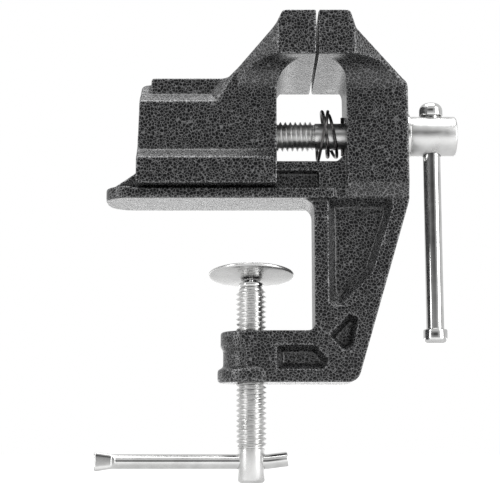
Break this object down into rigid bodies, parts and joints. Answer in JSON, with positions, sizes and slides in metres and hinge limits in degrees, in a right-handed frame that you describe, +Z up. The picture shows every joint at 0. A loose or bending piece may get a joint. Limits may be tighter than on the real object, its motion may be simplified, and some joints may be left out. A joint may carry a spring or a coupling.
{
  "type": "bench vise",
  "caption": "Small clamp-on bench vise: cast C-frame with fixed jaw, sliding jaw on a T-rail, main screw with T-bar, clamp screw with swivel pad and bar.",
  "frame": {"origin": "underside of the bench platform, on the clamp screw's axis, in the vise's middle plane", "axes": "+X along the main screw towards its handle, +Y along the jaws' width, +Z up, away from the bench"},
  "size_m": [0.1446, 0.06, 0.1823],
  "materials": {
    "casting_paint": "black and grey hammertone enamel on cast iron",
    "plated_steel": "bright nickel plating on turned steel",
    "screw_steel": "bright zinc plating on rolled threads",
    "spring_steel": "oiled black spring wire"
  },
  "bodies": {
    "frame": {"frame_casting": "casting_paint"},
    "jaw": {"sliding_jaw": "casting_paint"},
    "screw": {"main_screw": "screw_steel", "head_washer": "plated_steel", "retaining_pin": "spring_steel", "slack_spring": "spring_steel"},
    "bar": {"main_bar": "plated_steel", "main_bar_upper_knob": "plated_steel", "main_bar_lower_knob": "plated_steel"},
    "pad_carrier": {"pad_collar": "plated_steel"},
    "clamp": {"clamp_screw": "screw_steel"},
    "clamp_handle": {"clamp_bar": "plated_steel"},
    "pad": {"swivel_pad": "plated_steel"}
  },
  "joints": [
    {"name": "main_screw_turn", "type": "hinge", "parent": "frame", "child": "screw", "pos_m": [0.0733, 0, 0.0279], "axis": [1, 0, 0], "range_deg": [-126, 7290]},
    {"name": "jaw_slide", "type": "slide", "parent": "frame", "child": "jaw", "axis": [-1, 0, 0], "range_m": [-0.0006, 0.04]},
    {"name": "main_bar_slide", "type": "slide", "parent": "screw", "child": "bar", "axis": [0, 0, 1], "range_m": [0, 0.07]},
    {"name": "pad_lift", "type": "slide", "parent": "frame", "child": "pad_carrier", "axis": [0, 0, 1], "range_m": [-0.015, 0.021]},
    {"name": "clamp_screw_turn", "type": "hinge", "parent": "pad_carrier", "child": "clamp", "pos_m": [0, 0, -0.1026], "axis": [0, 0, 1], "range_deg": [-2790, 3870]},
    {"name": "clamp_bar_slide", "type": "slide", "parent": "clamp", "child": "clamp_handle", "axis": [1, 0, 0], "range_m": [0, 0.0445]},
    {"name": "pad_tilt", "type": "hinge", "parent": "pad_carrier", "child": "pad", "pos_m": [0, 0, -0.0299], "axis": [1, 0, 0], "range_deg": [0, 16.2]}
  ],
  "couplings": [
    {"joint": "main_screw_turn", "follows": "jaw_slide", "rad_per_m": 3141.6},
    {"joint": "clamp_screw_turn", "follows": "pad_lift", "rad_per_m": 3141.6}
  ]
}
